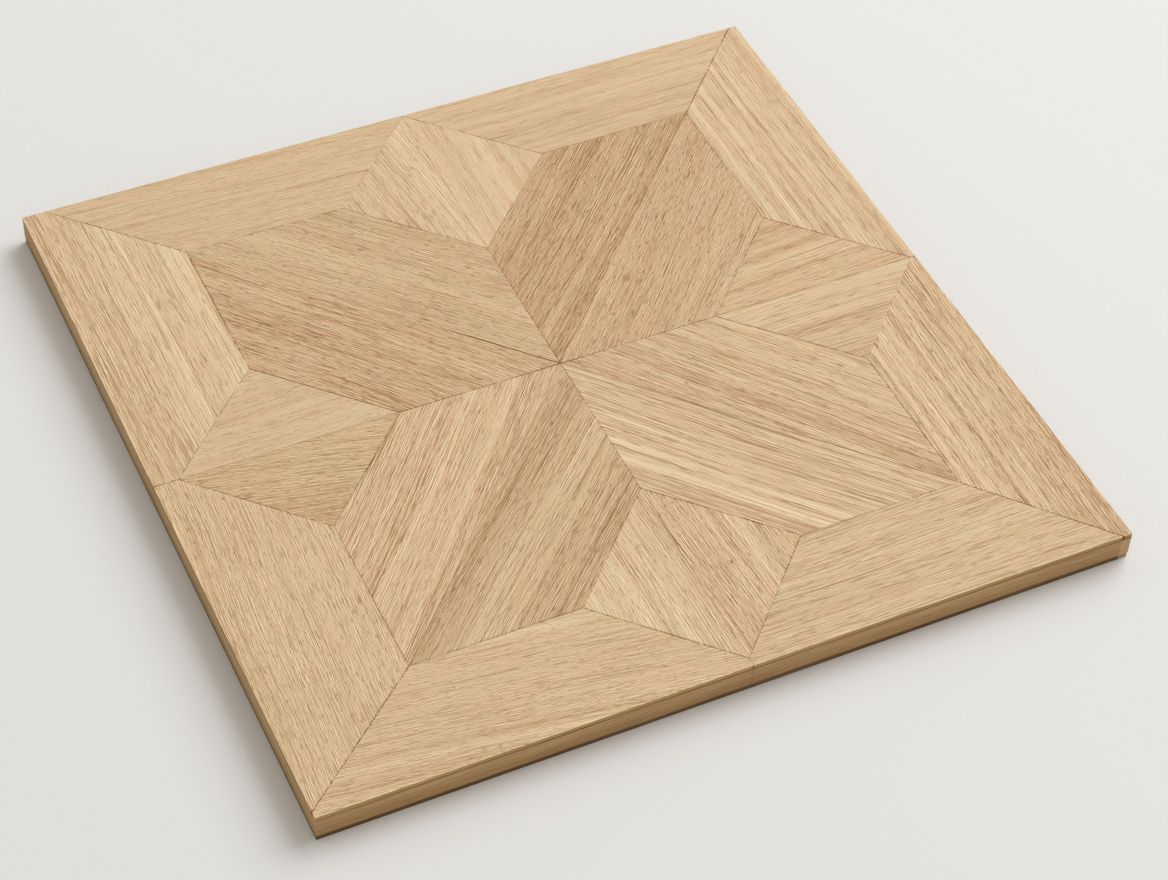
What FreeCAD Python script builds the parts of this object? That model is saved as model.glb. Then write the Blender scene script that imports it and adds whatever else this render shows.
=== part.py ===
import FreeCAD, Part
import os
import Sketcher

# Geometric oak parquet panel: four quarter blocks butted on the pattern's centre lines.
# Each block is a core board on a thinner backing, faced with six oak staves:
# the two halves of a petal, a half diamond at each end, and two mitred frame staves.
# Millimetres. +Z is up, the walked-on face on top. The origin is the centre of the underside.
# Front is -Y, back is +Y, left is -X and right is +X.

# Driving sizes: alias, value and what it measures
SIZES = (
    ("panel_side", 600.0, "outer side of the square panel"),
    ("stave_width", 82.0, "width of a frame stave, and half diagonal of a diamond"),
    ("setback_left", 18.0, "tip of the left diamond to the panel's left edge"),
    ("setback_right", 4.0, "tip of the right diamond to the panel's right edge"),
    ("setback_front", 6.5, "tip of the front diamond to the panel's front edge"),
    ("setback_back", 1.0, "tip of the back diamond to the panel's back edge"),
    ("mitre_run_front_left", 5.0, "corner to the end of the mitre, along the left edge"),
    ("mitre_run_front_right", 7.0, "corner to the end of the mitre, along the front edge"),
    ("mitre_run_back_right", 6.0, "corner to the end of the mitre, along the back edge"),
    ("mitre_run_back_left", 17.0, "corner to the end of the mitre, along the back edge"),
    ("face_thickness", 4.0, "thickness of the oak face staves"),
    ("core_thickness", 16.0, "thickness of the core boards"),
    ("backing_thickness", 4.0, "thickness of the backing boards"),
    ("backing_inset", 0.3, "how far the backing stands in from the panel's edges"),
    ("face_arris", 0.3, "easing of every upper edge of a face stave"),
    ("core_arris", 0.4, "easing of the core's outer edges"),
)

# Sizes that follow from the driving ones: alias, formula and what it is
DERIVED = (
    ("centre_x", "=(setback_left - setback_right) / 2", "pattern centre, from the panel's centre"),
    ("centre_y", "=(setback_front - setback_back) / 2", "pattern centre, from the panel's centre"),
    ("reach_x", "=(panel_side - setback_left - setback_right) / 2", "pattern centre to a side tip"),
    ("reach_y", "=(panel_side - setback_front - setback_back) / 2", "pattern centre to an end tip"),
    ("core_level", "=backing_thickness", "height of the core's underside"),
    ("face_level", "=backing_thickness + core_thickness", "height of the staves' underside"),
)

# Quarter blocks: name, the side and end edges it lies at, and the edge that its mitre runs out on
QUARTERS = (
    ("front", "left", "side"),
    ("front", "right", "end"),
    ("back", "right", "end"),
    ("back", "left", "end"),
)
SIGN = {"left": -1, "right": 1, "front": -1, "back": 1}
UP = FreeCAD.Vector(0, 0, 1)

# A sketch's own handles: its origin as a point, the axis lines that hold x and y at nought,
# and the numbers for the two ends of a line
SKETCH_ORIGIN = (-1, 1)
AXIS_LINES = (-2, -1)
START, END = (1, 2)


def make_sheet(doc):
    """Spreadsheet with one row for each size: meaning, alias and value."""
    sheet = doc.addObject("Spreadsheet::Sheet", "Sizes")
    for row, (alias, value, meaning) in enumerate(SIZES + DERIVED, start=1):
        sheet.set(f"A{row}", meaning)
        sheet.set(f"B{row}", str(value))
        sheet.setAlias(f"B{row}", alias)
    doc.recompute()
    return sheet


def size(alias):
    """A size as it is written in an expression."""
    return f"Sizes.{alias}"


def quarter_points(end, side, mitre_edge):
    """Named corners of one quarter's staves, as outward distances from the pattern's centre."""
    width = size("stave_width")
    reach_x = size("reach_x")
    reach_y = size("reach_y")
    edge_x = f"{reach_x} + {size('setback_' + side)}"
    edge_y = f"{reach_y} + {size('setback_' + end)}"
    run = size(f"mitre_run_{end}_{side}")
    mitre_on_side = mitre_edge == "side"
    return {
        "centre": ("0", "0"),
        "side_tip": (reach_x, "0"),
        "side_root": (f"{reach_x} - 2 * {width}", "0"),
        "side_shoulder": (f"{reach_x} - {width}", width),
        "side_edge": (edge_x, "0"),
        "end_tip": ("0", reach_y),
        "end_root": ("0", f"{reach_y} - 2 * {width}"),
        "end_shoulder": (width, f"{reach_y} - {width}"),
        "end_edge": ("0", edge_y),
        "petal_corner": (f"{reach_x} - {width}", f"{reach_y} - {width}"),
        "panel_corner": (edge_x, edge_y),
        "mitre_end": (edge_x if mitre_on_side else f"{edge_x} - {run}",
                      f"{edge_y} - {run}" if mitre_on_side else edge_y),
    }


def stave_outlines(end, side, mitre_edge):
    """The six face staves of one quarter: node name and its corners in order.

    The line that closes a petal half or a diamond half is the joint with its twin.
    """
    end_frame = ["end_edge", "end_tip", "end_shoulder", "petal_corner", "mitre_end"]
    side_frame = ["side_edge", "side_tip", "side_shoulder", "petal_corner", "mitre_end"]
    longer_frame = end_frame if mitre_edge == "side" else side_frame
    longer_frame.append("panel_corner")
    halves = {
        f"petal_{end}_{side}_{end}_half": ["centre", "end_root", "end_shoulder", "petal_corner"],
        f"petal_{end}_{side}_{side}_half": ["centre", "side_root", "side_shoulder", "petal_corner"],
        f"diamond_{end}_{side}_half": ["end_tip", "end_shoulder", "end_root"],
        f"diamond_{side}_{end}_half": ["side_tip", "side_shoulder", "side_root"],
    }
    frames = {f"frame_{end}_{side}": end_frame, f"frame_{side}_{end}": side_frame}
    return halves, frames


def board_outline(side, end, inset):
    """Corners of one quarter of a board that stands in from the panel's edges by the inset."""
    far_x = f"{size('reach_x')} + {size('setback_' + side)}{inset}"
    far_y = f"{size('reach_y')} + {size('setback_' + end)}{inset}"
    return [("0", "0"), (far_x, "0"), (far_x, far_y), ("0", far_y)]


def value_of(sheet, expression):
    """An expression's value now, so that a sketch is drawn at its true size."""
    return float(sheet.evalExpression(expression.replace("Sizes.", "")))


def plane_of(body, role):
    """One of the body's own origin planes."""
    return next(feature for feature in body.Origin.OriginFeatures if feature.Role == role)


def spot_of(sheet, corner, signs):
    """Where a corner lies in its body's own plane."""
    x, y = (sign * value_of(sheet, expression) for sign, expression in zip(signs, corner))
    return FreeCAD.Vector(x, y, 0)


def place_vertex(sketch, sheet, line, corner, signs):
    """Holds the start of a line at its corner, by distances from the sketch's origin."""
    for kind, expression, sign, axis_line in zip(("DistanceX", "DistanceY"), corner, signs, AXIS_LINES):
        if expression == "0":
            sketch.addConstraint(Sketcher.Constraint("PointOnObject", line, START, axis_line))
            continue
        near, far = (SKETCH_ORIGIN, (line, START)) if sign > 0 else ((line, START), SKETCH_ORIGIN)
        distance = value_of(sheet, expression)
        index = sketch.addConstraint(Sketcher.Constraint(kind, *near, *far, distance))
        sketch.setExpression(f"Constraints[{index}]", expression)


def draw_outline(body, sheet, name, corners, signs):
    """Closed sketch through the corners, on the body's own base plane."""
    sketch = body.newObject("Sketcher::SketchObject", name)
    sketch.AttachmentSupport = [(plane_of(body, "XY_Plane"), "")]
    sketch.MapMode = "FlatFace"
    spots = [spot_of(sheet, corner, signs) for corner in corners]
    for spot, following in zip(spots, spots[1:] + spots[:1]):
        sketch.addGeometry(Part.LineSegment(spot, following), False)
    for line in range(len(spots)):
        sketch.addConstraint(Sketcher.Constraint("Coincident", line, END, (line + 1) % len(spots), START))
    for line, corner in enumerate(corners):
        place_vertex(sketch, sheet, line, corner, signs)
    return sketch


def face_towards(shape, direction):
    """The face whose centre lies furthest in a direction."""
    return max(shape.Faces, key=lambda face: face.CenterOfMass.dot(direction))


def shared_edges(face, other):
    """Edges where two faces meet."""
    return [edge for edge in face.Edges if any(edge.isSame(rival) for rival in other.Edges)]


def ease_edges(body, pad, arris, edges):
    """Chamfers some of the pad's edges."""
    names = [f"Edge{number}" for number, candidate in enumerate(pad.Shape.Edges, start=1)
             if any(candidate.isSame(edge) for edge in edges)]
    chamfer = body.newObject("PartDesign::Chamfer", f"{body.Name}_eased")
    chamfer.Base = (pad, names)
    chamfer.setExpression("Size", size(arris))


def make_slab(doc, sheet, name, corners, signs, thickness, level):
    """Body with one padded outline, its underside at the given level over the pattern's centre."""
    body = doc.addObject("PartDesign::Body", name)
    body.Label = name
    sketch = draw_outline(body, sheet, f"{name}_outline", corners, signs)
    pad = body.newObject("PartDesign::Pad", f"{name}_slab")
    pad.Profile = sketch
    pad.setExpression("Length", size(thickness))
    body.setExpression("Placement.Base.x", size("centre_x"))
    body.setExpression("Placement.Base.y", size("centre_y"))
    if level:
        body.setExpression("Placement.Base.z", size(level))
    doc.recompute()
    return body, pad


def make_face_stave(doc, sheet, name, corners, signs, has_twin):
    """One oak face stave, eased above so that a fine V marks its joints, but not along its twin."""
    body, pad = make_slab(doc, sheet, name, corners, signs, "face_thickness", "face_level")
    edges = face_towards(pad.Shape, UP).Edges
    if has_twin:
        joint = (spot_of(sheet, corners[0], signs) + spot_of(sheet, corners[-1], signs)) / 2
        beside_twin = min(edges, key=lambda edge: edge.CenterOfMass.distanceToPoint(joint))
        edges = [edge for edge in edges if not edge.isSame(beside_twin)]
    ease_edges(body, pad, "face_arris", edges)
    return body


def make_core(doc, sheet, name, corners, signs):
    """One core board, eased above and below along the two edges that show."""
    body, pad = make_slab(doc, sheet, name, corners, signs, "core_thickness", "core_level")
    outer_side = face_towards(pad.Shape, FreeCAD.Vector(signs[0], 0, 0))
    outer_end = face_towards(pad.Shape, FreeCAD.Vector(0, signs[1], 0))
    edges = []
    for level_face in (face_towards(pad.Shape, UP), face_towards(pad.Shape, -UP)):
        edges += shared_edges(outer_side, level_face) + shared_edges(outer_end, level_face)
    ease_edges(body, pad, "core_arris", edges)
    return body


def make_quarter(doc, sheet, end, side, mitre_edge):
    """Backing, core and six face staves of one quarter block."""
    signs = (SIGN[side], SIGN[end])
    points = quarter_points(end, side, mitre_edge)
    inset_outline = board_outline(side, end, f" - {size('backing_inset')}")
    backing, _ = make_slab(doc, sheet, f"backing_{end}_{side}", inset_outline, signs, "backing_thickness", None)
    bodies = [backing]
    bodies.append(make_core(doc, sheet, f"core_{end}_{side}", board_outline(side, end, ""), signs))
    for outlines, has_twin in zip(stave_outlines(end, side, mitre_edge), (True, False)):
        for name, corner_names in outlines.items():
            corners = [points[corner_name] for corner_name in corner_names]
            bodies.append(make_face_stave(doc, sheet, name, corners, signs, has_twin))
    return bodies


def check_objects(doc, bodies):
    """Stops if any object failed to compute or a piece isn't one valid solid."""
    for item in doc.Objects:
        if "Invalid" in item.State or "Error" in item.State:
            raise RuntimeError(f"{item.Name} failed: {item.State}")
    for body in bodies:
        if body.Shape.isNull() or not body.Shape.isValid() or len(body.Shape.Solids) != 1:
            raise RuntimeError(f"{body.Label} isn't one valid solid")


def main():
    doc = FreeCAD.newDocument("parquet_panel")
    sheet = make_sheet(doc)
    bodies = []
    for end, side, mitre_edge in QUARTERS:
        bodies += make_quarter(doc, sheet, end, side, mitre_edge)
    doc.recompute()
    check_objects(doc, bodies)
    os.makedirs("parts", exist_ok=True)
    for body in bodies:
        body.Shape.exportStep(f"parts/{body.Label}.step")
    volume = sum(body.Shape.Volume for body in bodies)
    print(f"{len(bodies)} pieces, {volume:.0f} cubic mm in all")


main()
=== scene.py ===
import math

import bpy
from mathutils import Matrix, Vector


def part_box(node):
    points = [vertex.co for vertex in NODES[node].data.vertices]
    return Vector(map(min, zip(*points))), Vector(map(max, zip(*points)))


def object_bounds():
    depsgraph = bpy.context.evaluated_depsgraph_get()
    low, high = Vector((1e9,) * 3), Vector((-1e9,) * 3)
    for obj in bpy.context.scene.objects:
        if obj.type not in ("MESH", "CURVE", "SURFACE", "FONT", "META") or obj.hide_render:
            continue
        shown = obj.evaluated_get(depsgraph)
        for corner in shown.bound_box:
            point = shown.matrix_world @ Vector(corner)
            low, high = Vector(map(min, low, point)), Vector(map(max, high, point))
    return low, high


# A square geometric parquet panel of matt oiled oak, lying on a pale floor.
# Metres, +Z up, the panel's front edge towards -Y. Every solid comes from the frame;
# this script gives each stave its own oak, the edges theirs, and sets floor, light and camera.

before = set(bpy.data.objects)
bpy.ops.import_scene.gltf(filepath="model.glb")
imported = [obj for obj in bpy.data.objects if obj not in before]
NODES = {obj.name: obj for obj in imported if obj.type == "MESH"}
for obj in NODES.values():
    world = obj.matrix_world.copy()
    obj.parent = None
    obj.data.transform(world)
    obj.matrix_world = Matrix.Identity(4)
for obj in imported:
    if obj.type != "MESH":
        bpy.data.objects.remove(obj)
cad_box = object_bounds()
MM = 0.001

# The panel's own measures, from the frame
panel_low, panel_high = cad_box
PANEL_HALF = (panel_high.x - panel_low.x) / 2
PANEL_TOP = panel_high.z
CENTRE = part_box("core_front_left")[1].xy
CORE_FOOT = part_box("core_front_left")[0].z
FACE_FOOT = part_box("frame_front_left")[0].z

# Outward directions of the panel's sides
OUTWARD = {
    "back": Vector((0, 1)),
    "front": Vector((0, -1)),
    "right": Vector((1, 0)),
    "left": Vector((-1, 0)),
}

# Where a normal's Z goes from a side's to an eased edge's, and from that to the flat top's
SIDE_TO_EDGE = (0.3, 0.6)
EDGE_TO_TOP = (0.9, 0.95)

# Each stave's seed is that much further on than the last one's, and a seed moves the noise
# across by that share of what it moves it along
SEED_STEP = 7.3
SEED_ACROSS = 0.37

# How far a pale fibre lies beside its dark one, in cells of the noise
LINE_SHIFT = 0.6


def linear(red, green, blue):
    """A colour named by its 0 to 255 screen values, as the linear colour that a shader takes."""
    def channel(value):
        share = value / 255
        return share / 12.92 if share <= 0.04045 else ((share + 0.055) / 1.055) ** 2.4
    return (channel(red), channel(green), channel(blue), 1.0)


class Graph:
    """One material's nodes, with a short call for each kind that is used here."""

    def __init__(self, name):
        self.material = bpy.data.materials.new(name)
        self.material.use_nodes = True
        self.nodes = self.material.node_tree.nodes
        self.links = self.material.node_tree.links
        self.shader = self.nodes["Principled BSDF"]
        self.place = self.nodes.new("ShaderNodeTexCoord").outputs["Object"]
        self.facing = self.nodes.new("ShaderNodeNewGeometry").outputs["True Normal"]

    def feed(self, socket, value):
        """Links an output into the socket, or sets a plain value on it."""
        if isinstance(value, bpy.types.NodeSocket):
            self.links.new(value, socket)
        else:
            socket.default_value = value

    def maths(self, operation, *values):
        node = self.nodes.new("ShaderNodeMath")
        node.operation = operation
        for socket, value in zip(node.inputs, values):
            self.feed(socket, value)
        return node.outputs[0]

    def vector(self, operation, *values):
        node = self.nodes.new("ShaderNodeVectorMath")
        node.operation = operation
        for socket, value in zip(node.inputs, values):
            self.feed(socket, value)
        return node.outputs["Value" if operation in ("DOT_PRODUCT", "DISTANCE") else "Vector"]

    def total(self, *values):
        result = values[0]
        for value in values[1:]:
            result = self.maths("ADD", result, value)
        return result

    def times(self, first, second):
        return self.maths("MULTIPLY", first, second)

    def scaled(self, value, factor, base):
        """The value times the factor, plus the base."""
        return self.maths("MULTIPLY_ADD", value, factor, base)

    def turned(self, place, origin, angle):
        """The place as seen from axes at origin, turned by angle about Z."""
        node = self.nodes.new("ShaderNodeMapping")
        node.vector_type = "TEXTURE"
        self.feed(node.inputs["Vector"], place)
        node.inputs["Location"].default_value = origin
        node.inputs["Rotation"].default_value = (0, 0, angle)
        return node.outputs[0]

    def split(self, place):
        node = self.nodes.new("ShaderNodeSeparateXYZ")
        self.feed(node.inputs[0], place)
        return node.outputs

    def joined(self, *values):
        node = self.nodes.new("ShaderNodeCombineXYZ")
        for socket, value in zip(node.inputs, values):
            self.feed(socket, value)
        return node.outputs[0]

    def noise(self, place, cell, seed, detail=1.0, shift=0.0):
        """Noise about zero, from -0.5 to 0.5, with cells in millimetres along, across and up.

        A shift moves it across, in cells."""
        scale = tuple(1 / (size * MM) for size in cell)
        node = self.nodes.new("ShaderNodeTexNoise")
        at = self.vector("MULTIPLY_ADD", place, scale, (seed, seed * SEED_ACROSS + shift, -seed))
        self.feed(node.inputs["Vector"], at)
        node.inputs["Scale"].default_value = 1.0
        node.inputs["Detail"].default_value = detail
        node.inputs["Roughness"].default_value = 0.5
        return self.maths("SUBTRACT", node.outputs[0], 0.5)

    def lines(self, place, cell, seed):
        """Fine lines about zero along the first axis, each dark one with a pale one beside it."""
        beside = self.noise(place, cell, seed, detail=0.0, shift=LINE_SHIFT)
        return self.maths("SUBTRACT", self.noise(place, cell, seed, detail=0.0), beside)

    def step(self, value, start, end, low=0.0, high=1.0):
        """A smooth step from low to high while value goes from start to end."""
        node = self.nodes.new("ShaderNodeMapRange")
        node.interpolation_type = "SMOOTHSTEP"
        for socket, number in zip(node.inputs, (value, start, end, low, high)):
            self.feed(socket, number)
        return node.outputs[0]

    def ramp(self, value, stops):
        """A colour ramp with a stop at each (place, colour)."""
        node = self.nodes.new("ShaderNodeValToRGB")
        self.feed(node.inputs[0], value)
        elements = node.color_ramp.elements
        while len(elements) < len(stops):
            elements.new(0.5)
        for element, (place, colour) in zip(elements, stops):
            element.position = place
            element.color = colour
        return node.outputs[0]

    def mix(self, share, first, second):
        node = self.nodes.new("ShaderNodeMix")
        node.data_type = "RGBA"
        self.feed(node.inputs["Factor"], share)
        self.feed(node.inputs["A"], first)
        self.feed(node.inputs["B"], second)
        return node.outputs["Result"]

    def shaded(self, share, colour, cast):
        """The colour, multiplied by the cast where share is 1."""
        return self.mix(share, colour, self.vector("MULTIPLY", colour, cast))

    def bump(self, height, metres):
        """A normal from a height of 0 to 1 that stands for that many metres."""
        node = self.nodes.new("ShaderNodeBump")
        node.inputs["Distance"].default_value = metres
        self.feed(node.inputs["Height"], height)
        return node.outputs[0]


# The oak's colour is a body tone, made darker or paler by a level in screen steps. TONE_STEP is
# how far red, green and blue follow the level, so that darker wood is a little redder and paler
# wood a little creamier. TONE_REACH is the furthest level either way, and no value is under
# TONE_FLOOR.
TONE_STEP = (0.95, 1.04, 1.15)
TONE_REACH = 60.0
TONE_FLOOR = 8.0
RAMP_STOPS = 5


def oak_ramp(graph, level, body):
    """The oak's colour where level is in screen steps above or below the body tone."""
    stops = []
    for number in range(RAMP_STOPS):
        share = number / (RAMP_STOPS - 1)
        shift = (share - 0.5) * 2 * TONE_REACH
        tone = [max(TONE_FLOOR, value + shift * taken) for value, taken in zip(body, TONE_STEP)]
        stops.append((share, linear(*tone)))
    return graph.ramp(graph.scaled(level, 0.5 / TONE_REACH, 0.5), stops)


# Named body tones of the staves
PALE_CREAM = (220, 190, 151)
CREAM = (217, 186, 146)
STRAW = (214, 184, 145)
WHEAT = (217, 183, 142)
HONEY = (213, 180, 139)
TAN = (208, 175, 133)
FAWN = (206, 171, 129)
RUSSET = (201, 164, 122)

# Each stave: body tone, how far its grain leaves the reference line in degrees, how crisp its
# pores and fibres are, how long they run, and its streaks as (millimetres from the reference line,
# half width, levels).
# The reference line is the outer edge of a frame piece, and else the joint with its twin.
STAVES = {
    "frame_back_left": (STRAW, -3, 0.65, 0.8, [
        (7, 5, -5), (22, 6, 3), (34, 4, 3), (42, 3, 6), (46, 3, -8), (62, 6, -2), (67, 4, -5)]),
    "frame_back_right": (STRAW, 1, 0.6, 1.2, [
        (16, 4, -3), (22, 3, -4), (27, 5, 5), (34, 3, -4), (38, 5, 3), (52, 9, -4), (66, 5, -5),
        (71, 4, 4)]),
    "frame_right_back": (CREAM, 0, 1.0, 1.6, [
        (2, 3, 8), (9, 5, -14), (19.5, 3, -7), (24, 4, 5), (34, 2.5, 9), (37.5, 2.5, -9), (42, 3, 12),
        (47, 5, -9), (57.5, 3, -7), (62, 4, 14), (71, 4, -6), (77.5, 4, 14)]),
    "frame_right_front": (HONEY, -1.5, 1.3, 1.0, [
        (2, 4, -12), (6, 3, -6), (14, 3, -11), (22, 5, -9), (30.5, 3, 9), (34, 2.5, -9), (38, 3, 7),
        (46, 3, 10), (50, 3, -15), (58, 4, 9), (67.5, 5, 15), (74, 2, -8), (78.5, 3, 16)]),
    "frame_front_right": (STRAW, 0, 0.8, 1.0, [
        (8, 5, -6), (22, 5, -4), (33, 4, -5), (44, 5, 4), (54, 4, 9), (65, 5, -2), (70, 4, 5),
        (82, 4, 5)]),
    "frame_front_left": (CREAM, -8, 0.8, 0.6, [
        (-5, 8, -9), (6, 4, 7), (14, 5, -9), (26, 4, -5), (38, 4, -4), (88, 6, 13)]),
    "frame_left_front": (CREAM, -3, 1.0, 0.7, [
        (3, 5, -8), (12, 12, -3), (40, 5, 1)]),
    "frame_left_back": (PALE_CREAM, 1, 0.9, 1.0, [
        (8, 9, -9), (14, 4, -4), (25, 12, -7), (36, 6, -3), (54, 10, 7), (57, 3, 5), (62, 3, -6),
        (74, 3, -6), (78, 3, 4), (86, 9, 12), (95, 5, 12)]),
    "diamond_back_left_half": (PALE_CREAM, 6, 0.85, 1.0, [
        (3, 4, 6), (10, 5, 9), (27, 4, -4), (33, 4, -3), (45, 6, -10), (54, 3, 7), (60, 5, -14),
        (70, 9, -5)]),
    "diamond_back_right_half": (PALE_CREAM, 0, 0.65, 1.4, [
        (12, 7, -5), (21, 3, -5), (26, 3, 5), (31, 6, 3), (41, 6, 10), (46, 3, 7), (52, 4, -6),
        (58, 3, 5), (65, 4, -14)]),
    "diamond_right_back_half": (HONEY, 3, 0.8, 1.0, [
        (22, 4, -7), (27, 3, 4), (35, 8, 10), (46, 5, -12), (54, 4, 3), (59, 4, -6), (70, 12, -8)]),
    "diamond_right_front_half": (STRAW, 0, 0.75, 1.2, [
        (2.5, 4, 16), (8, 6, 4), (14, 4, 8), (22, 4, 8), (28, 5, 4), (35, 3, 3), (38, 5, -16),
        (44, 5, -5), (72, 22, -6)]),
    "diamond_front_right_half": (WHEAT, 3.5, 1.35, 0.8, [
        (3, 6, -6), (12, 5, -9), (22, 5, -6), (27, 3, 5), (33.5, 3, 8), (37, 3, -8), (48, 9, 14),
        (62, 8, -4)]),
    "diamond_front_left_half": (PALE_CREAM, 1.5, 1.0, 0.9, [
        (3, 7, -8), (19, 2, -7), (27, 6, 6), (38, 4, -9), (47, 7, 8), (54, 4, 6), (62, 5, 8),
        (72, 9, 10)]),
    "diamond_left_front_half": (TAN, -14, 0.95, 0.5, [
        (-9, 7, 5), (10, 8, 3), (22, 4, 4), (34, 7, 2), (47, 5, -7), (55, 4, -4), (68, 14, -8)]),
    "diamond_left_back_half": (STRAW, 1, 0.7, 0.6, [
        (2.5, 4, 6), (15, 5, 6), (32, 5, 6), (40, 5, -8), (54, 8, -5), (71, 5, 3)]),
    "petal_back_left_back_half": (TAN, 1, 1.15, 0.7, [
        (19, 4, -4), (35, 10, 9), (43, 5, 5), (54, 5, -6), (78, 6, -6), (85, 6, -2)]),
    "petal_back_left_left_half": (FAWN, -2, 1.25, 0.7, [
        (25, 9, 5), (43, 10, -6), (60, 7, -6), (68, 5, 4), (76, 7, -5), (87, 6, 4)]),
    "petal_back_right_back_half": (RUSSET, -1, 1.15, 0.7, [
        (2, 4, -11), (10, 3, -6), (17, 5, 13), (25, 4, -2), (31, 3, -3), (36, 4, 4), (43, 4, -2),
        (57, 9, -9), (70, 4, 4), (86, 6, 5)]),
    "petal_back_right_right_half": (FAWN, 1, 1.15, 0.7, [
        (2, 4, 6), (24, 14, -4), (42, 3, 3), (58, 5, -4), (68, 12, 6), (88, 5, 8)]),
    "petal_front_right_right_half": (HONEY, -5, 1.2, 1.1, [
        (-7, 5, -15), (5.5, 3, -7), (11, 3, 6), (19, 9, -14), (30, 6, -5), (34, 3, 14), (38, 3, -8),
        (46, 5, 2), (52, 4, -5), (58, 4, 9), (66, 8, 4), (85, 8, 8)]),
    "petal_front_right_front_half": (CREAM, -2, 1.1, 1.6, [
        (2, 3, -16), (6, 3, 3), (10, 3, -6), (17, 6, -8), (22, 3, 4), (26, 3, -5), (30, 3, 8),
        (34.5, 3, -8), (38.5, 3, 13), (44, 4, 5), (54, 3, -10), (58, 5, 18), (62, 3, -11), (70, 7, 21),
        (78, 6, -8), (86, 5, -10)]),
    "petal_front_left_front_half": (TAN, -2.5, 1.2, 1.1, [
        (8, 13, -11), (11, 3, 4), (19, 5, -5), (37, 10, 10), (46, 4, 9), (50, 3, -6), (54, 4, 8),
        (63, 4, -10), (72, 5, -7), (78.5, 3, -20), (87, 8, -6)]),
    "petal_front_left_left_half": (WHEAT, 3, 1.15, 1.0, [
        (3, 4, -7), (11, 5, -12), (18, 5, 9), (32, 10, -1), (44.5, 5, 12), (50.5, 1.2, -10),
        (54, 1.3, -18), (57.5, 1.2, -12), (63, 1.1, -16), (66, 3, 8), (72, 4, -8), (85, 7, -2)]),
}

# The tight joint between twin staves, as (start, end, shade at start, shade at end), with start
# and end as distances in metres from the pattern's centre
TWIN_JOINTS = {
    "petal_back_left": (0.05, 0.12, 1.2, 0.15),
    "petal_back_right": (0.17, 0.26, 0.15, 0.45),
    "petal_front_right": (0.12, 0.24, 0.3, 0.7),
    "petal_front_left": (0.16, 0.28, 0.15, 0.5),
    "diamond_back": (0.13, 0.29, 0.25, 0.15),
    "diamond_right": (0.13, 0.29, 0.5, 0.4),
    "diamond_front": (0.13, 0.29, 0.15, 0.3),
    "diamond_left": (0.13, 0.29, 0.25, 0.2),
}

# How dark the eased joint between two staves is: JOINT_SHADE, unless the pair is listed, with its
# two names in alphabetical order
JOINT_SHADE = 0.9
JOINT_SHADES = {
    ("frame_back_left", "frame_left_back"): 1.0,
    ("frame_back_right", "frame_right_back"): 1.3,
    ("frame_front_right", "frame_right_front"): 1.2,
    ("frame_front_left", "frame_left_front"): 1.35,
    ("frame_left_back", "petal_back_left_left_half"): 1.15,
    ("frame_right_front", "petal_front_right_right_half"): 1.05,
    ("frame_left_front", "petal_front_left_left_half"): 0.85,
    ("frame_back_left", "petal_back_left_back_half"): 0.7,
    ("frame_back_right", "petal_back_right_back_half"): 0.7,
    ("frame_right_back", "petal_back_right_right_half"): 0.8,
    ("frame_front_right", "petal_front_right_front_half"): 0.65,
    ("frame_front_left", "petal_front_left_front_half"): 0.8,
    ("diamond_back_left_half", "frame_back_left"): 0.7,
    ("diamond_back_right_half", "frame_back_right"): 0.65,
    ("diamond_right_front_half", "frame_right_front"): 0.55,
    ("diamond_left_back_half", "frame_left_back"): 0.85,
    ("diamond_left_front_half", "frame_left_front"): 0.8,
    ("diamond_right_back_half", "frame_right_back"): 1.05,
    ("diamond_front_right_half", "frame_front_right"): 0.95,
    ("diamond_front_left_half", "frame_front_left"): 1.05,
    ("diamond_back_left_half", "petal_back_left_back_half"): 0.7,
    ("diamond_back_right_half", "petal_back_right_back_half"): 0.4,
    ("diamond_right_back_half", "petal_back_right_right_half"): 0.8,
    ("diamond_left_back_half", "petal_back_left_left_half"): 1.35,
    ("diamond_left_front_half", "petal_front_left_left_half"): 1.1,
    ("diamond_front_left_half", "petal_front_left_front_half"): 0.8,
    ("petal_front_left_front_half", "petal_front_right_front_half"): 0.6,
    ("petal_back_left_back_half", "petal_back_right_back_half"): 0.7,
}


# How near two points are that are one corner of a stave, or a corner that two staves share, the
# shortest side that can be a joint, and how near an outer side is to the panel's edge
SAME_CORNER = 0.01 * MM
SHARED_CORNER = 0.02 * MM
SHORTEST_SIDE = 1.0 * MM
OUTER_MARGIN = 1.0 * MM


def top_outline(node):
    """The corners of a stave's flat top, anticlockwise as seen from above."""
    flat = [v.co for v in node.data.vertices if v.co.z > PANEL_TOP - SAME_CORNER]
    points = []
    for co in flat:
        if all((co.xy - p).length > SAME_CORNER for p in points):
            points.append(co.xy.copy())
    middle = sum(points, Vector((0, 0))) / len(points)
    return sorted(points, key=lambda p: math.atan2(p.y - middle.y, p.x - middle.x))


def reference_line(name):
    """Two points of the line that the stave's streaks are measured from."""
    family, end, side = name.split("_")[:3]
    if family == "frame":
        middle = OUTWARD[end] * PANEL_HALF
        return middle, middle + OUTWARD[end].orthogonal()
    if family == "diamond":
        return CENTRE, CENTRE + OUTWARD[end]
    far = (OUTWARD[end] + OUTWARD[side]).normalized()
    corner = max(top_outline(NODES[name]), key=lambda p: (p - CENTRE).dot(far))
    return CENTRE, corner


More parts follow.
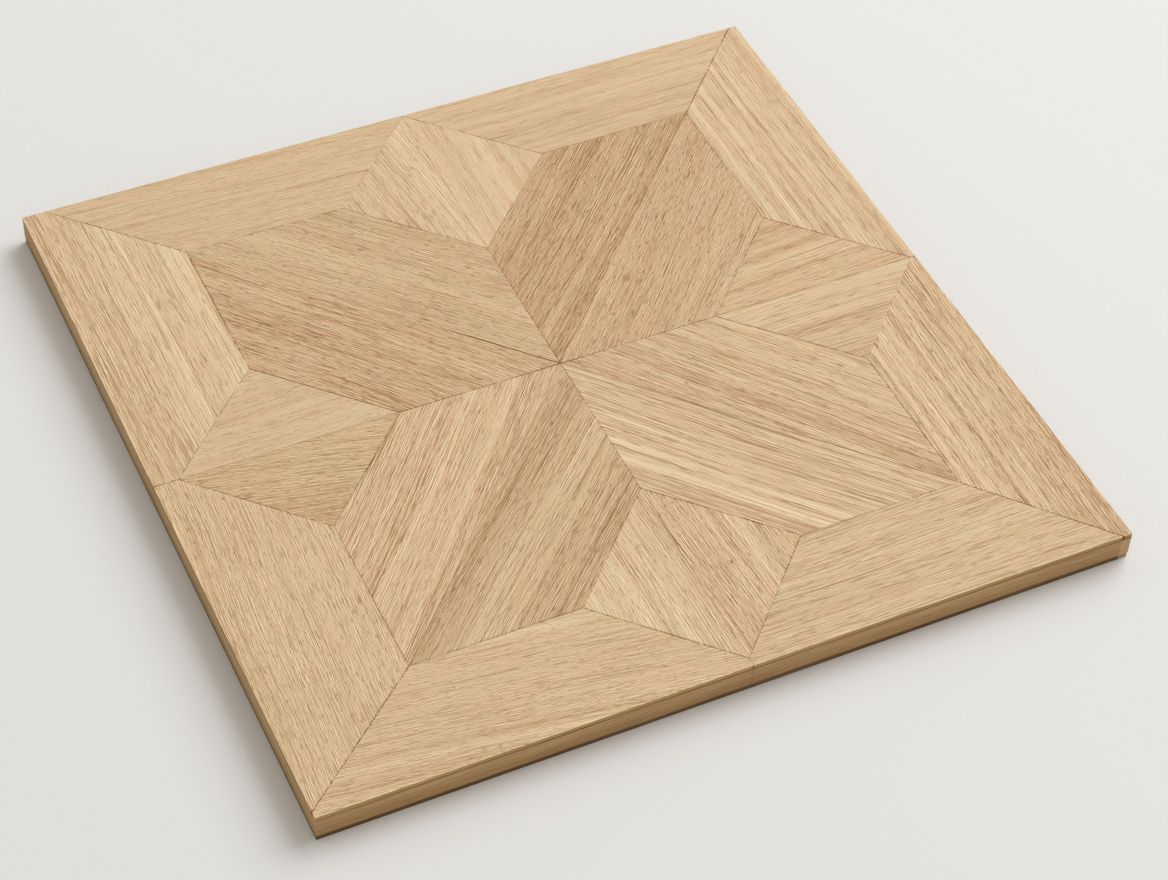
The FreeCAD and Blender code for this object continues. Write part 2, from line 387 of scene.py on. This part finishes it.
def grain_axes(name, slant):
    """Where a stave's grain axes start and how far they turn, with across pointing into the stave."""
    outline = top_outline(NODES[name])
    start, end = reference_line(name)
    line = (end - start).normalized()
    middle = sum(outline, Vector((0, 0))) / len(outline)
    foot = start + line * (middle - start).dot(line)
    across = (middle - foot).normalized()
    along = Vector((across.y, -across.x))
    return (foot.x, foot.y, 0), math.atan2(along.y, along.x) + math.radians(slant)


def stave_at(spot):
    """The stave whose top holds the spot."""
    for name in STAVES:
        outline = top_outline(NODES[name])
        sides = zip(outline, outline[1:] + outline[:1])
        if all((end - start).cross(spot - start) > 0 for start, end in sides):
            return name


def stave_seams(name):
    """The sides of a stave's top that meet another stave, as (point, inward normal, tight, shade).

    A side is tight where both its corners are another stave's too: its edge isn't eased."""
    outline = top_outline(NODES[name])
    others = [p for n in STAVES if n != name for p in top_outline(NODES[n])]
    seams = []
    for first, second in zip(outline, outline[1:] + outline[:1]):
        side = second - first
        middle = (first + second) / 2
        outer = max(abs(middle.x), abs(middle.y)) > PANEL_HALF - OUTER_MARGIN
        if side.length < SHORTEST_SIDE or outer:
            continue
        inward = Vector((-side.y, side.x)).normalized()
        tight = all(any((p - corner).length < SHARED_CORNER for p in others) for corner in (first, second))
        pair = tuple(sorted((name, stave_at(middle - inward * MM))))
        seams.append((first, inward, tight, JOINT_SHADES.get(pair, JOINT_SHADE)))
    return seams


# What a joint's dark leaves of the oak's colour
SEAM_CAST = (0.26, 0.15, 0.0)

# How much of an eased joint's shade shows on the sides, on the eased edge and on the flat top
SEAM_ON_SIDE = 0.9
SEAM_ON_EDGE = 0.7
SEAM_ON_TOP = 0.25

# An eased joint wears in patches and drifts, round the first SEAM_WEAR at the pattern's centre
# and round the second from CENTRE_REACH outwards
PATCH_CELL = (4, 4, 4)
PATCH_GAIN = 3.0
DRIFT_CELL = (40, 40, 40)
DRIFT_GAIN = 2.0
SEAM_WEAR = (1.6, 0.97)
CENTRE_REACH = 50 * MM

# How far the dark of an eased joint reaches, where that of a tight one starts and stops fading,
# and how much a tight one drifts
EASED_WIDTH = 0.5 * MM
TIGHT_WIDTH = (0.25 * MM, 0.75 * MM)
TIGHT_DRIFT = 0.8


def seam_shade(graph, name, seed):
    """How dark the joints round a stave's top are, from 0 to 1."""
    patchy = graph.noise(graph.place, PATCH_CELL, seed + 12)
    drift = graph.noise(graph.place, DRIFT_CELL, seed + 13)
    span = graph.vector("DISTANCE", graph.place, (CENTRE.x, CENTRE.y, PANEL_TOP))
    wear = graph.total(graph.times(patchy, PATCH_GAIN), graph.times(drift, DRIFT_GAIN),
                       graph.step(span, 0.0, CENTRE_REACH, *SEAM_WEAR))
    up = graph.split(graph.facing)[2]
    shown = graph.maths("MAXIMUM", graph.step(up, *SIDE_TO_EDGE, SEAM_ON_SIDE, SEAM_ON_TOP),
                        graph.step(up, *EDGE_TO_TOP, SEAM_ON_EDGE, 0.0))
    worn = graph.times(shown, wear)
    dark = 0.0
    for point, inward, tight, joint_shade in stave_seams(name):
        inwards = graph.vector("DOT_PRODUCT", graph.place, (inward.x, inward.y, 0))
        apart = graph.maths("SUBTRACT", inwards, point.dot(inward))
        if tight:
            twins = next(joint for family, joint in TWIN_JOINTS.items() if name.startswith(family))
            near = graph.times(graph.step(apart, *TIGHT_WIDTH, 1.0, 0.0), graph.step(span, *twins))
            near = graph.times(near, graph.scaled(drift, TIGHT_DRIFT, 1.0))
        else:
            near = graph.times(graph.step(apart, 0.0, EASED_WIDTH, joint_shade, 0.0), worn)
        dark = graph.maths("MAXIMUM", dark, near)
    return dark


# The glue line between the face layer and the core: its shade, how far from its middle it starts
# and stops fading, and how it breaks along its run, as (factor, base)
GLUE_SHADE = 0.62
GLUE_WIDTH = (0.3 * MM, 1.1 * MM)
GLUE_CELL = (60, 60, 60)
GLUE_BREAKS = (1.6, 0.85)


def glue_shade(graph, seed):
    """How dark the glue line is, from 0 to 1, broken along its run."""
    height = graph.split(graph.place)[2]
    apart = graph.maths("ABSOLUTE", graph.maths("SUBTRACT", height, FACE_FOOT))
    broken = graph.noise(graph.place, GLUE_CELL, seed + 15, detail=2.0)
    line = graph.step(apart, *GLUE_WIDTH, GLUE_SHADE, 0.0)
    return graph.times(line, graph.scaled(broken, *GLUE_BREAKS))


# The left and right sides of the panel, where a normal's X is beyond SIDEWAYS, are painted a
# little paler and less red than the front and back: painted light, for how the light falls on them
SIDEWAYS = (0.8, 0.9)
SIDE_LIGHT_CAST = (0.985, 1.06, 1.13)


def side_light_tint(graph, colour):
    """The colour, with the painted light tint of the panel's left and right sides where they are."""
    # Painted light: left and right sides painted paler and less red
    sideways = graph.maths("ABSOLUTE", graph.split(graph.facing)[0])
    return graph.shaded(graph.step(sideways, *SIDEWAYS), colour, SIDE_LIGHT_CAST)


# How far a stave's grain wanders: in a long bend, and in a ripple that is less on a long run
BEND_CELL = (180, 60, 40)
BEND = 7 * MM
RIPPLE_CELL = (30, 12, 12)
RIPPLE = 0.6 * MM

# How a streak comes and goes along its run, as (factor, base), and the share of it that shows
FADE_CELL = (120, 9, 9)
STREAK_FADE = (1.2, 0.85)
STREAK_SHARE = 0.85

# Broad unevenness of tone, as (cell, levels, offset of the seed)
CLOUDS = (((300, 35, 20), 8, 2), ((240, 10, 8), 5, 4), ((110, 2.4, 4), 6, 5))

# Fibres: the cells of two layers that are as long as the stave's run asks and of a short one,
# the patches that make them weak and strong, how a streak's level changes them, and the levels
# that they stand for on a stave with crispness 1
RUNNING_FIBRES = ((70, 0.75, 1.5), (16, 0.65, 1.2))
SHORT_FIBRES = (5, 0.55, 1.2)
CONTRAST_CELL = (36, 8, 8)
CONTRAST_GAIN = 2.6
STREAK_CONTRAST = -0.02
FIBRE_LEVEL = 54

# Pores: the cells of three layers of dark dashes, as long as the stave's run asks, which crowd
# together in places and in dark streaks. The noise that makes a pore is beyond PORE_EDGE, and
# about PORE_SHARE of a top is pores, which is added back so that they don't darken it as a whole.
PORES = ((150, 0.75, 2), (26, 0.65, 2), (9, 0.6, 1.2))
CROWD_CELL = (150, 14, 9)
CROWD_GAIN = 0.08
STREAK_CROWD = -0.0035
PORE_EDGE = (0.18, 0.25)
PORE_SHARE = 0.08
PORE_LEVEL = -38

# The sawn, unoiled side of a stave is a warmer brown with layers of noise of its own, as
# (cell, levels, offset of the seed). End grain is darker, and the eased edge is painted paler, a painted
# highlight
SAWN_CAST = (1.0, 0.93, 0.8)
SAWN_LEVEL = -26
SAWN_LAYERS = (((90, 4, 0.9), 36, 16), ((160, 20, 8), 16, 17))
END_GRAIN = (0.6, 0.95)
END_GRAIN_LEVEL = -8
EDGE_HIGHLIGHT_LIFT = 44

# The oak's warmth runs from a yellow cast at 0 to a red one at 1. It changes in drifts and spots,
# and dark wood and dark streaks are warmer
YELLOW_CAST = (0.99, 1.03, 1.01, 1.0)
RED_CAST = (1.01, 0.97, 0.975, 1.0)
WARMTH = 0.6
WARM_DRIFT_CELL = (70, 14, 12)
WARM_DRIFT = 2.0
WARM_SPOT_CELL = (9, 9, 9)
WARM_SPOT = 1.0
LEVEL_WARMTH = -0.012
STREAK_WARMTH = -0.04

# Roughness and relief of the plain wood, what fibres and pores add or take off, and the
# roughness beside the flat top
ROUGHNESS = 0.6
FIBRE_ROUGHNESS = 0.2
PORE_ROUGHNESS = 0.2
EDGE_ROUGHNESS = 0.9
SPECULAR = 0.15
PLAIN_HEIGHT = 0.6
FIBRE_HEIGHT = 0.5
PORE_DEPTH = 0.5
RELIEF = 0.2 * MM


def grain_place(graph, name, slant, run, seed):
    """The place along, across and up a stave's wandering grain, and the angle of its axes."""
    origin, angle = grain_axes(name, slant)
    straight = graph.turned(graph.place, origin, angle)
    bend = graph.noise(straight, BEND_CELL, seed)
    ripple = graph.noise(straight, RIPPLE_CELL, seed + 1)
    shove = graph.total(graph.times(bend, BEND), graph.times(ripple, RIPPLE / run))
    return graph.vector("ADD", straight, graph.joined(0.0, shove, 0.0)), angle


def streak_level(graph, wavy, streaks, seed):
    """The levels of a stave's own streaks."""
    across = graph.split(wavy)[1]
    fade = graph.scaled(graph.noise(wavy, FADE_CELL, seed + 3, detail=2.0), *STREAK_FADE)
    level = 0.0
    for place, half_width, depth in streaks:
        apart = graph.maths("ABSOLUTE", graph.maths("SUBTRACT", across, place * MM))
        level = graph.scaled(graph.step(apart, 0.0, half_width * MM, depth, 0.0), fade, level)
    return level


def fibre_lines(graph, wavy, run, streaked, seed):
    """Fine lines about zero, weak and strong in patches, and stronger in dark streaks."""
    cells = [(length * run, width, height) for length, width, height in RUNNING_FIBRES]
    cells.append(SHORT_FIBRES)
    fibres = graph.total(*(graph.lines(wavy, cell, seed + 6 + i) for i, cell in enumerate(cells)))
    patches = graph.noise(wavy, CONTRAST_CELL, seed + 19, detail=2.0)
    contrast = graph.scaled(patches, CONTRAST_GAIN, graph.scaled(streaked, STREAK_CONTRAST, 1.0))
    return graph.times(fibres, contrast)


def pore_dashes(graph, wavy, run, streaked, seed):
    """Where a stave's pores are, from 0 to 1."""
    crowd = graph.times(graph.noise(wavy, CROWD_CELL, seed + 9), CROWD_GAIN)
    crowd = graph.scaled(streaked, STREAK_CROWD, crowd)
    pores = 0.0
    for i, (length, width, height) in enumerate(PORES):
        dashes = graph.noise(wavy, (length * run, width, height), seed + 10 + i, detail=0.0)
        pores = graph.maths("MAXIMUM", pores, graph.step(graph.total(crowd, dashes), *PORE_EDGE))
    return pores


def side_level(graph, wavy, seed):
    """The levels of a stave's sawn side."""
    level = SAWN_LEVEL
    for cell, gain, offset in SAWN_LAYERS:
        level = graph.scaled(graph.noise(wavy, cell, seed + offset), gain, level)
    return level


def warm_tint(graph, wavy, level, streaked, seed):
    """The cast of the oak between yellow and red."""
    warmth = graph.scaled(graph.noise(wavy, WARM_DRIFT_CELL, seed + 14), WARM_DRIFT, WARMTH)
    warmth = graph.scaled(graph.noise(graph.place, WARM_SPOT_CELL, seed + 18), WARM_SPOT, warmth)
    warmth = graph.scaled(level, LEVEL_WARMTH, warmth)
    warmth = graph.scaled(streaked, STREAK_WARMTH, warmth)
    return graph.mix(warmth, YELLOW_CAST, RED_CAST)


def face_oak(name, number):
    """The oiled oak of one stave, with its seams, its pores and its sawn edges."""
    body, slant, crisp, run, streaks = STAVES[name]
    graph = Graph("oak_" + name)
    seed = SEED_STEP * (number + 1)
    wavy, angle = grain_place(graph, name, slant, run, seed)

    streaked = streak_level(graph, wavy, streaks, seed)
    level = graph.times(streaked, STREAK_SHARE)
    for cell, gain, offset in CLOUDS:
        level = graph.scaled(graph.noise(wavy, cell, seed + offset), gain, level)
    fibres = fibre_lines(graph, wavy, run, streaked, seed)
    level = graph.scaled(fibres, FIBRE_LEVEL * crisp, level)
    pores = pore_dashes(graph, wavy, run, streaked, seed)
    level = graph.scaled(graph.maths("SUBTRACT", pores, PORE_SHARE), PORE_LEVEL * crisp, level)

    up = graph.split(graph.facing)[2]
    lengthwise = (math.cos(angle), math.sin(angle), 0)
    end_grain = graph.maths("ABSOLUTE", graph.vector("DOT_PRODUCT", graph.facing, lengthwise))
    level = graph.scaled(graph.step(end_grain, *END_GRAIN), END_GRAIN_LEVEL, level)
    sawn = graph.step(up, *SIDE_TO_EDGE, 1.0, 0.0)
    # Painted highlight: the eased edges are painted paler
    edge_highlight = graph.maths("SUBTRACT", graph.step(up, *EDGE_TO_TOP, 1.0, 0.0), sawn)
    level = graph.scaled(edge_highlight, EDGE_HIGHLIGHT_LIFT, level)
    level = graph.scaled(sawn, graph.maths("SUBTRACT", side_level(graph, wavy, seed), level), level)

    tint = warm_tint(graph, wavy, level, streaked, seed)
    colour = graph.vector("MULTIPLY", oak_ramp(graph, level, body), tint)
    colour = side_light_tint(graph, graph.shaded(sawn, colour, SAWN_CAST))
    glue = graph.times(glue_shade(graph, seed), sawn)
    dark = graph.maths("MAXIMUM", seam_shade(graph, name, seed), glue)
    graph.feed(graph.shader.inputs["Base Color"], graph.shaded(dark, colour, SEAM_CAST))

    rough = graph.scaled(pores, PORE_ROUGHNESS, graph.scaled(fibres, FIBRE_ROUGHNESS, ROUGHNESS))
    rough = graph.maths("MAXIMUM", rough, graph.step(up, *EDGE_TO_TOP, EDGE_ROUGHNESS, 0.0))
    graph.feed(graph.shader.inputs["Roughness"], rough)
    graph.shader.inputs["Specular IOR Level"].default_value = SPECULAR
    ridges = graph.scaled(fibres, FIBRE_HEIGHT, PLAIN_HEIGHT)
    height = graph.maths("SUBTRACT", ridges, graph.times(pores, PORE_DEPTH))
    graph.feed(graph.shader.inputs["Normal"], graph.bump(height, RELIEF * crisp))
    return graph.material


# The edges of the core and backing: the tone of each, its uneven levels, its fibres of long
# lines and short flecks, the level at a layer's top, and where a normal's X turns the grain
# from the front and back to the left and right
CORE_TONE = (188, 151, 107)
BACKING_TONE = (114, 87, 54)
LAYER_CLOUD_CELL = (70, 6, 9)
LAYER_CLOUD_LEVEL = 36
LAYER_LINE_CELL = (60, 1.6, 3)
LAYER_FLECK_CELL = (12, 0.9, 1)
LAYER_FIBRE_LEVEL = 36
LAYER_TOP_LEVEL = 4
LAYER_TURN = (0.4, 0.6)
LAYER_ROUGHNESS = 0.75
LAYER_SPECULAR = 0.2
LAYER_RELIEF = 0.25 * MM

# The joint between quarter blocks is a darker line, and the last of the front and back edges
# before the right-hand corners is painted paler and evener: a painted highlight for the key-lit
# right side at those corners
BLOCK_JOINT_LEVEL = -16
BLOCK_JOINT_WIDTH = (0.2 * MM, 0.7 * MM)
PAINTED_HIGHLIGHT_FROM = PANEL_HALF - 7.5 * MM
PAINTED_HIGHLIGHT_EDGE = 0.6 * MM
PAINTED_HIGHLIGHT_EVENING = -0.6


def sawn_wood(name, body, seed, low, high, foot_level, highlight_lift):
    """The sawn edge of a layer from low to high, with its grain lengthwise on every side."""
    graph = Graph(name)
    facing = graph.split(graph.facing)
    place = graph.split(graph.place)
    sideways = graph.step(graph.maths("ABSOLUTE", facing[0]), *LAYER_TURN)
    run = graph.scaled(sideways, graph.maths("SUBTRACT", place[1], place[0]), place[0])
    depth = graph.scaled(sideways, graph.maths("SUBTRACT", place[0], place[1]), place[1])
    wood = graph.joined(run, place[2], depth)
    level = graph.times(graph.noise(wood, LAYER_CLOUD_CELL, seed, detail=2.0), LAYER_CLOUD_LEVEL)
    fibres = graph.total(graph.lines(wood, LAYER_LINE_CELL, seed + 1),
                         graph.noise(wood, LAYER_FLECK_CELL, seed + 2, detail=2.0))
    level = graph.scaled(fibres, LAYER_FIBRE_LEVEL, level)
    # Each layer is darker towards its bottom, from foot_level at low to LAYER_TOP_LEVEL at high
    level = graph.total(level, graph.step(place[2], low, high, foot_level, LAYER_TOP_LEVEL))

    joint = graph.scaled(sideways, CENTRE.y - CENTRE.x, CENTRE.x)
    apart = graph.maths("ABSOLUTE", graph.maths("SUBTRACT", run, joint))
    level = graph.total(level, graph.step(apart, *BLOCK_JOINT_WIDTH, BLOCK_JOINT_LEVEL, 0.0))
    # Painted highlight: the right-hand ends of the front and back edges are painted paler and evener
    painted_highlight = graph.times(graph.step(run, PAINTED_HIGHLIGHT_FROM, PAINTED_HIGHLIGHT_FROM + PAINTED_HIGHLIGHT_EDGE),
                            graph.maths("SUBTRACT", 1.0, sideways))
    level = graph.scaled(painted_highlight, graph.scaled(level, PAINTED_HIGHLIGHT_EVENING, highlight_lift), level)

    colour = side_light_tint(graph, oak_ramp(graph, level, body))
    colour = graph.shaded(glue_shade(graph, seed), colour, SEAM_CAST)
    graph.feed(graph.shader.inputs["Base Color"], colour)
    graph.shader.inputs["Roughness"].default_value = LAYER_ROUGHNESS
    graph.shader.inputs["Specular IOR Level"].default_value = LAYER_SPECULAR
    graph.feed(graph.shader.inputs["Normal"], graph.bump(fibres, LAYER_RELIEF))
    return graph.material


def dress(node, material):
    for slot in node.material_slots:
        slot.material = material


for number, name in enumerate(STAVES):
    dress(NODES[name], face_oak(name, number))
core = sawn_wood("core_oak", CORE_TONE, seed=3.1, low=CORE_FOOT, high=FACE_FOOT,
                 foot_level=-14, highlight_lift=12)
backing = sawn_wood("backing_wood", BACKING_TONE, seed=11.7, low=0.0, high=CORE_FOOT,
                    foot_level=-10, highlight_lift=55)
for name, node in NODES.items():
    if name.startswith("core"):
        dress(node, core)
    if name.startswith("backing"):
        dress(node, backing)


# Floor
FLOOR_HALF = 20.0
FLOOR_TONE = (0.79, 0.78, 0.76, 1.0)
FLOOR_ROUGHNESS = 0.9


def make_floor():
    corners = [(-FLOOR_HALF, -FLOOR_HALF, 0), (FLOOR_HALF, -FLOOR_HALF, 0), (FLOOR_HALF, FLOOR_HALF, 0),
               (-FLOOR_HALF, FLOOR_HALF, 0)]
    mesh = bpy.data.meshes.new("floor")
    mesh.from_pydata(corners, [], [(0, 1, 2, 3)])
    floor = bpy.data.objects.new("floor", mesh)
    bpy.context.scene.collection.objects.link(floor)
    graph = Graph("floor_paint")
    graph.shader.inputs["Base Color"].default_value = FLOOR_TONE
    graph.shader.inputs["Roughness"].default_value = FLOOR_ROUGHNESS
    mesh.materials.append(graph.material)


# Lights: a warm fill from all round and a cooler key, which together are white on a level face
WORLD_LIGHT = 0.53
WORLD_TINT = (1.025, 0.985, 0.905)
KEY_SHARE = 0.55
KEY_TINT = (0.976, 1.014, 1.091)
KEY_AZIMUTH = math.radians(20)
KEY_ELEVATION = math.radians(42)
KEY_DISTANCE = 8.0
KEY_SIZE = 6.4


def make_key_light():
    data = bpy.data.lights.new("key", "AREA")
    data.shape = "SQUARE"
    data.size = KEY_SIZE
    data.color = KEY_TINT
    data.energy = KEY_SHARE * math.pi ** 2 * KEY_DISTANCE ** 2 / math.sin(KEY_ELEVATION)
    key = bpy.data.objects.new("key", data)
    towards = Vector((math.cos(KEY_AZIMUTH) * math.cos(KEY_ELEVATION),
                      math.sin(KEY_AZIMUTH) * math.cos(KEY_ELEVATION), math.sin(KEY_ELEVATION)))
    key.location = towards * KEY_DISTANCE
    key.rotation_euler = towards.to_track_quat("Z", "Y").to_euler()
    bpy.context.scene.collection.objects.link(key)


def make_world():
    """The fill light, with the floor's own tone as the backdrop that the camera and gloss see."""
    world = bpy.data.worlds.new("studio")
    world.use_nodes = True
    bpy.context.scene.world = world
    nodes, links = world.node_tree.nodes, world.node_tree.links
    light = nodes["Background"]
    light.inputs["Color"].default_value = (*WORLD_TINT, 1)
    light.inputs["Strength"].default_value = WORLD_LIGHT
    backdrop = nodes.new("ShaderNodeBackground")
    backdrop.inputs["Color"].default_value = FLOOR_TONE
    rays = nodes.new("ShaderNodeLightPath")
    seen = rays.outputs["Is Camera Ray"]
    for kind in ("Is Glossy Ray", "Is Transmission Ray"):
        either = nodes.new("ShaderNodeMath")
        either.operation = "MAXIMUM"
        links.new(seen, either.inputs[0])
        links.new(rays.outputs[kind], either.inputs[1])
        seen = either.outputs[0]
    mix = nodes.new("ShaderNodeMixShader")
    links.new(seen, mix.inputs[0])
    links.new(light.outputs[0], mix.inputs[1])
    links.new(backdrop.outputs[0], mix.inputs[2])
    links.new(mix.outputs[0], nodes["World Output"].inputs["Surface"])


# Camera
CAMERA_AZIMUTH = math.radians(-27.162)
CAMERA_ELEVATION = math.radians(46.51)
CAMERA_ROLL = math.radians(2.998)
CAMERA_DISTANCE = 2.048
CAMERA_TARGET = Vector((0, -0.054, 0.002))
CAMERA_LENS = 88.74


def make_camera():
    back = Vector((math.sin(CAMERA_AZIMUTH) * math.cos(CAMERA_ELEVATION),
                   -math.cos(CAMERA_AZIMUTH) * math.cos(CAMERA_ELEVATION), math.sin(CAMERA_ELEVATION)))
    right = Vector((math.cos(CAMERA_AZIMUTH), math.sin(CAMERA_AZIMUTH), 0))
    up = back.cross(right)
    rolled_right = right * math.cos(CAMERA_ROLL) + up * math.sin(CAMERA_ROLL)
    rolled_up = up * math.cos(CAMERA_ROLL) - right * math.sin(CAMERA_ROLL)
    turn = Matrix((rolled_right, rolled_up, back)).transposed().to_4x4()
    data = bpy.data.cameras.new("camera")
    data.lens = CAMERA_LENS
    camera = bpy.data.objects.new("camera", data)
    camera.matrix_world = Matrix.Translation(CAMERA_TARGET + back * CAMERA_DISTANCE) @ turn
    bpy.context.scene.collection.objects.link(camera)
    bpy.context.scene.camera = camera


make_floor()
make_key_light()
make_world()
make_camera()
bpy.context.scene.view_settings.view_transform = "Standard"
